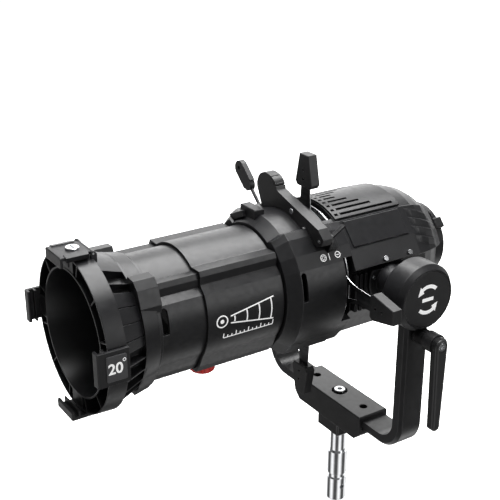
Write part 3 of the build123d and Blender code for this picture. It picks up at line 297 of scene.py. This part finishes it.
BLACK = (0.0095, 0.0095, 0.0105)
FINISHES = {
    "black_casting": powder_coat("black_casting", BLACK, 0.35, 0.035),
    "black_steel": powder_coat("black_steel", (0.0085, 0.0085, 0.0092), 0.33, 0.02),
    "black_plastic": moulded("black_plastic", (0.0105, 0.0105, 0.0112), 0.40),
    "anodised": powder_coat("anodised", (0.013, 0.013, 0.014), 0.34, 0.012, 0.7, 0.9 * MM, 0.6),
    "chrome": chrome(),
    "steel": machined("steel", (0.60, 0.61, 0.62), 0.28, (1.0, 8.0, 1.0)),
    "blade": coated_blade(),
    "red_plastic": moulded("red_plastic", (0.62, 0.025, 0.02), 0.34, 0.12),
    "label": moulded("label", (0.055, 0.055, 0.058), 0.42, 0.08),
    "lens_glass": lens_glass(),
    "friction": friction_lining(),
    "ink": ink(),
}


def dress(thing, finish):
    thing.data.materials.clear()
    thing.data.materials.append(FINISHES[finish])


def dress_nodes():
    for part in frame["record"]["subparts"]:
        dress(frame["nodes"][part["node"]], part["material_slot"])
    for side in ("top", "right", "bottom", "left"):
        dress(frame["nodes"]["shutter_blade_" + side], "blade")


# ---- making pieces -------------------------------------------------------------------------
def new_piece(name, points, faces, body, finish, smooth=False):
    mesh = bpy.data.meshes.new(name)
    mesh.from_pydata([tuple(p) for p in points], [], faces)
    mesh.validate()
    work = bmesh.new()
    work.from_mesh(mesh)
    bmesh.ops.recalc_face_normals(work, faces=work.faces)
    work.to_mesh(mesh)
    work.free()
    for face in mesh.polygons:
        face.use_smooth = smooth
    thing = bpy.data.objects.new(name, mesh)
    bpy.context.scene.collection.objects.link(thing)
    dress(thing, finish)
    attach(thing, body)
    return thing


def ribbon(points, width, closed=False):
    """Quads of a flat line of one width along points (u, v)."""
    count = len(points)
    corners = []
    for index in range(count):
        before = points[(index - 1) % count] if closed or index else points[0]
        after = points[(index + 1) % count] if closed or index < count - 1 else points[-1]
        along = Vector((after[0] - before[0], after[1] - before[1])).normalized()
        across = Vector((-along.y, along.x)) * width / 2
        here = Vector(points[index])
        corners.append((here + across, here - across))
    quads = []
    for index in range(count if closed else count - 1):
        a, b = corners[index], corners[(index + 1) % count]
        quads.append((a[0], b[0], b[1], a[1]))
    return quads


def circle_points(u, v, r, start=0.0, end=360.0, steps=32):
    span = end - start
    count = steps if span == 360.0 else steps + 1
    angles = [radians(start + span * i / steps) for i in range(count)]
    return [(u + r * cos(a), v + r * sin(a)) for a in angles]


def line_points(a, b, steps=8):
    return [(a[0] + (b[0] - a[0]) * i / steps, a[1] + (b[1] - a[1]) * i / steps) for i in range(steps + 1)]


def disc(u, v, r, steps=24):
    rim = circle_points(u, v, r, steps=steps)
    return [((u, v), rim[i], rim[(i + 1) % steps]) for i in range(steps)]


def printed(name, shapes, place, body, thick=0.06 * MM):
    """Ink shapes in (u, v), laid by place(u, v, height) as thin solid film."""
    points = []
    faces = []
    for shape in shapes:
        start = len(points)
        size = len(shape)
        for height in (0.0, thick):
            points += [place(p[0], p[1], height) for p in shape]
        faces.append(tuple(range(start + size, start + 2 * size)))
        for i in range(size):
            j = (i + 1) % size
            faces.append((start + i, start + j, start + size + j, start + size + i))
    return new_piece(name, points, faces, body, "ink")


def text_shapes(words, size):
    """Filled outlines of a few characters as flat polygons (u, v), centred."""
    curve = bpy.data.curves.new("words", "FONT")
    curve.body = words
    curve.size = size
    curve.offset = size * 0.022
    curve.align_x = "CENTER"
    curve.align_y = "CENTER"
    thing = bpy.data.objects.new("words", curve)
    bpy.context.scene.collection.objects.link(thing)
    bpy.context.view_layer.update()
    mesh = bpy.data.meshes.new_from_object(thing)
    shapes = [tuple((mesh.vertices[i].co.x, mesh.vertices[i].co.y) for i in face.vertices)
              for face in mesh.polygons]
    bpy.data.objects.remove(thing)
    bpy.data.meshes.remove(mesh)
    bpy.data.curves.remove(curve)
    return shapes


def slide(shapes, du, dv):
    return [tuple((p[0] + du, p[1] + dv) for p in shape) for shape in shapes]


# ---- marks ---------------------------------------------------------------------------------
def angle_mark():
    """The beam angle on the plate of the right clip: generic figures."""
    low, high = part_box("number_plate")
    centre_y = (low.y + high.y) / 2
    centre_z = (low.z + high.z) / 2
    height = high.z - low.z
    shapes = slide(text_shapes("20", height * 0.58), -1.6 * MM, -0.6 * MM)
    shapes += ribbon(circle_points(height * 0.30, height * 0.27, height * 0.055, steps=20), 0.8 * MM, True)
    printed("beam_angle_figures", shapes,
            lambda u, v, h: (high.x + h, centre_y + u, centre_z + v), "lens_carriage")


def tilt_mark():
    """Two arc arrows round a level bar on the right pivot cover: it tilts both ways."""
    low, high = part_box("pivot_covers")
    face = high.x
    r = (high.z - low.z) * 0.235
    head = 5.4 * MM
    shapes = []
    for middle in (90, 270):
        shapes += ribbon(circle_points(0, 0, r, middle - 46, middle + 34, 24), 4.6 * MM)
        a = radians(middle + 34)
        tip = radians(middle + 68)
        inner = (cos(a) * (r - head), sin(a) * (r - head))
        outer = (cos(a) * (r + head), sin(a) * (r + head))
        shapes.append((inner, outer, (cos(tip) * r, sin(tip) * r)))
    shapes += ribbon(line_points((-r * 0.52, 0), (r * 0.52, 0)), 4.6 * MM)
    printed("tilt_mark", shapes, lambda u, v, h: (face + h, u, AXIS_Z + v), "base")


def beam_mark():
    """A lamp, its widening beam and a scale, on the right flank of the guide tube."""
    low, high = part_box("guide_tube")
    flank = GUIDE_FLANK_R
    middle_y = low.y + (high.y - low.y) * 0.52
    middle_z = AXIS_Z - BEAM_MARK_DROP
    unit = BEAM_MARK_UNIT
    shapes = ribbon(circle_points(-26 * unit, 3 * unit, 5.0 * unit, steps=28), 1.1 * unit, True)
    shapes += disc(-26 * unit, 3 * unit, 1.8 * unit)
    for side in (-1, 1):
        near = (-18 * unit, (3 + side * 3) * unit)
        far = (24 * unit, (3 + side * 10) * unit)
        shapes += ribbon(line_points(near, far, 24), 1.1 * unit)
    for index, reach in enumerate((12, 24, 36, 48)):
        spread = 12 - index * 0.2
        shapes += ribbon(circle_points(-26 * unit, 3 * unit, reach * unit, -spread, spread, 12), 1.1 * unit)
    for index in range(13):
        u = (-24 + 4 * index) * unit
        tall = 4.4 if index % 3 == 0 else 2.4
        shapes += ribbon(line_points((u, -13 * unit), (u, (-13 + tall) * unit), 2), 0.9 * unit)
    shapes += ribbon(line_points((-24 * unit, -13 * unit), (24 * unit, -13 * unit), 24), 0.9 * unit)

    def place(u, v, h):
        z = middle_z + v
        rise = (z - AXIS_Z) / flank
        x = flank * sqrt(1 - rise * rise)
        out = (flank + h + 0.01 * MM) / flank
        return (x * out, middle_y + u, AXIS_Z + (z - AXIS_Z) * out)

    printed("beam_mark", shapes, place, "head")


def gate_marks():
    """Round signs for the iris and the slot on the dark facet of the gate housing."""
    r = FACET_R
    a0 = radians(FACET_TOP)
    a1 = radians(FACET_FOOT)
    upper = Vector((r * cos(a0), 0, AXIS_Z + r * sin(a0)))
    lower = Vector((r * cos(a1), 0, AXIS_Z + r * sin(a1)))
    down = (lower - upper)
    width = down.length
    down.normalize()
    out = Vector((-down.z, 0, down.x))
    if out.x < 0:
        out = -out
    middle = (upper + lower) / 2

    def place(u, v, h):
        spot = middle - down * v + out * (h + 0.01 * MM)
        return (spot.x, u, spot.z)

    y0 = GATE_SIGNS_Y
    shapes = ribbon(circle_points(y0, 0, 4.0 * MM, steps=24), 0.9 * MM, True)
    for index in range(6):
        a = radians(60 * index)
        b = radians(60 * index + 70)
        shapes += ribbon(line_points((y0 + 1.6 * MM * cos(a), 1.6 * MM * sin(a)),
                                     (y0 + 3.8 * MM * cos(b), 3.8 * MM * sin(b)), 2), 0.6 * MM)
    shapes += ribbon(line_points((y0 + 8.5 * MM, -4.2 * MM), (y0 + 8.5 * MM, 4.2 * MM), 2), 0.9 * MM)
    shapes += ribbon(circle_points(y0 + 21 * MM, 0, 3.6 * MM, steps=24), 0.9 * MM, True)
    shapes += ribbon(line_points((y0 + 19 * MM, 0), (y0 + 23 * MM, 0), 2), 0.9 * MM)
    printed("gate_signs", shapes, place, "head")


# ---- relief on the head --------------------------------------------------------------------
def surface_of(node):
    mesh = frame["nodes"][node].data
    mesh.calc_loop_triangles()
    points = [v.co.copy() for v in mesh.vertices]
    faces = [tuple(t.vertices) for t in mesh.loop_triangles]
    return BVHTree.FromPolygons(points, faces)


def on_surface(tree, y, angle, far=0.2):
    """Where the ray from outside towards the beam axis, at this angle and y, meets the surface."""
    direction = Vector((cos(radians(angle)), 0, sin(radians(angle))))
    start = Vector((0, y, AXIS_Z)) + direction * far
    spot, normal, _, _ = tree.ray_cast(start, -direction)
    return spot, direction


def louvre(name, tree, side, start, end, width, height):
    """A slanted slat on the head: a sharp raised front edge that slopes back into the skin."""
    steps = 14
    profile = [(0.0, -0.3 * MM), (0.0, height), (0.18, height), (1.0, 0.15 * MM), (1.0, -0.3 * MM)]
    points = []
    for index in range(steps + 1):
        t = index / steps
        y = start[0] + (end[0] - start[0]) * t
        angle = start[1] + (end[1] - start[1]) * t
        fade = min(1.0, 5.0 * t, 5.0 * (1 - t)) if 0 < t < 1 else 0.15
        for share, lift in profile:
            turned = angle - share * width
            spot, out = on_surface(tree, y, turned if side > 0 else 180 - turned)
            if spot is None:
                spot = Vector((0, y, AXIS_Z)) + out * 0.05
            points.append(spot + out * (lift * fade if lift > 0 else lift))
    size = len(profile)
    faces = [tuple(range(size)), tuple(range(steps * size, steps * size + size))]
    for index in range(steps):
        for k in range(size):
            a = index * size + k
            b = index * size + (k + 1) % size
            faces.append((a, b, b + size, a + size))
    return new_piece(name, points, faces, "head", "black_casting")


def head_louvres():
    tree = surface_of("head_shell")
    for side, word in ((1, "right"), (-1, "left")):
        for index in range(4):
            start = (50.0 * MM, 54.0 - 8.0 * index)
            end = (90.0 * MM, 46.0 - 8.0 * index)
            louvre("louvre_%s_%d" % (word, index + 1), tree, side, start, end, 6.0, 2.6 * MM)


# ---- stage ---------------------------------------------------------------------------------
def make_floor():
    mesh = bpy.data.meshes.new("studio_floor")
    half = 6.0
    mesh.from_pydata([(-half, -half, FLOOR_Z), (half, -half, FLOOR_Z), (half, half, FLOOR_Z),
                      (-half, half, FLOOR_Z)], [], [(0, 1, 2, 3)])
    floor = bpy.data.objects.new("studio_floor", mesh)
    bpy.context.scene.collection.objects.link(floor)
    floor.data.materials.append(studio_floor())
    floor.visible_glossy = False
    floor.visible_diffuse = False


def make_light(name, place, target, size, power, size_y=None):
    data = bpy.data.lights.new(name, "AREA")
    data.shape = "RECTANGLE"
    data.size = size
    data.size_y = size_y or size
    data.energy = power
    lamp = bpy.data.objects.new(name, data)
    bpy.context.scene.collection.objects.link(lamp)
    lamp.location = place
    lamp.rotation_euler = (Vector(place) - Vector(target)).to_track_quat("Z", "Y").to_euler()
    lamp.visible_camera = False
    return lamp


def math_node(tree, operation, a, b=None):
    node = tree.nodes.new("ShaderNodeMath")
    node.operation = operation
    for socket, value in ((node.inputs[0], a), (node.inputs[1], b)):
        if value is None:
            continue
        if isinstance(value, float):
            socket.default_value = value
        else:
            tree.links.new(value, socket)
    return node.outputs["Value"]


def surroundings(tree):
    """Even fill above; below the horizon, upright light and dark bands for the chrome to mirror."""
    place = tree.nodes.new("ShaderNodeTexCoord")
    split = tree.nodes.new("ShaderNodeSeparateXYZ")
    tree.links.new(place.outputs["Generated"], split.inputs["Vector"])
    turn = math_node(tree, "ARCTAN2", split.outputs["Y"], split.outputs["X"])
    turns = math_node(tree, "MULTIPLY", turn, BAND_COUNT)
    wave = math_node(tree, "COSINE", math_node(tree, "ADD", turns, BAND_TURN))
    bands = tree.nodes.new("ShaderNodeMapRange")
    bands.inputs["From Min"].default_value = -0.5
    bands.inputs["From Max"].default_value = 0.9
    bands.inputs["To Min"].default_value = BAND_DARK
    bands.inputs["To Max"].default_value = BAND_LIGHT
    tree.links.new(wave, bands.inputs["Value"])
    below = tree.nodes.new("ShaderNodeMapRange")
    below.inputs["From Min"].default_value = -0.02
    below.inputs["From Max"].default_value = -0.22
    tree.links.new(split.outputs["Z"], below.inputs["Value"])
    blend = tree.nodes.new("ShaderNodeMix")
    blend.inputs["A"].default_value = FILL
    tree.links.new(below.outputs["Result"], blend.inputs["Factor"])
    tree.links.new(bands.outputs["Result"], blend.inputs["B"])
    return blend.outputs["Result"]


def around(azimuth, reach, height):
    """A place round the object: azimuth from the front, as the camera's is counted."""
    a = radians(azimuth)
    return (reach * sin(a), -reach * cos(a), height)


def make_lights():
    world = bpy.data.worlds.new("studio")
    bpy.context.scene.world = world
    world.use_nodes = True
    tree = world.node_tree
    sky = tree.nodes["Background"]
    sky.inputs["Color"].default_value = (1.0, 1.0, 1.0, 1.0)
    sky.inputs["Strength"].default_value = 1.0
    fill = tree.nodes.new("ShaderNodeBackground")
    fill.inputs["Color"].default_value = (1.0, 1.0, 1.0, 1.0)
    tree.links.new(surroundings(tree), fill.inputs["Strength"])
    rays = tree.nodes.new("ShaderNodeLightPath")
    choose = tree.nodes.new("ShaderNodeMixShader")
    tree.links.new(rays.outputs["Is Camera Ray"], choose.inputs["Fac"])
    tree.links.new(fill.outputs["Background"], choose.inputs[1])
    tree.links.new(sky.outputs["Background"], choose.inputs[2])
    tree.links.new(choose.outputs["Shader"], tree.nodes["World Output"].inputs["Surface"])
    middle = (0.0, -0.12, 0.28)
    make_light("overhead", (-0.15, 0.05, 1.45), middle, 1.0, 44.0, 1.5)
    make_light("backdrop", around(CAMERA_AZIMUTH + 180, 2.0, 0.85), middle, 3.4, 34.0, 1.5)
    make_light("side", around(112.0, 1.7, 0.75), middle, 0.9, 7.0)


def make_camera():
    data = bpy.data.cameras.new("camera")
    data.lens = CAMERA_LENS
    data.sensor_width = CAMERA_SENSOR
    data.clip_start = 0.05
    camera = bpy.data.objects.new("camera", data)
    bpy.context.scene.collection.objects.link(camera)
    a, e = radians(CAMERA_AZIMUTH), radians(CAMERA_ELEVATION)
    back = Vector((sin(a) * cos(e), -cos(a) * cos(e), sin(e)))
    camera.location = CAMERA_TARGET + back * CAMERA_DISTANCE
    camera.rotation_euler = (pi / 2 - e, 0.0, a)
    bpy.context.scene.camera = camera


make_camera()
make_lights()
make_floor()
dress_nodes()
angle_mark()
tilt_mark()
beam_mark()
gate_marks()
head_louvres()
bpy.context.scene.view_settings.view_transform = "Standard"

bpy.context.view_layer.update()
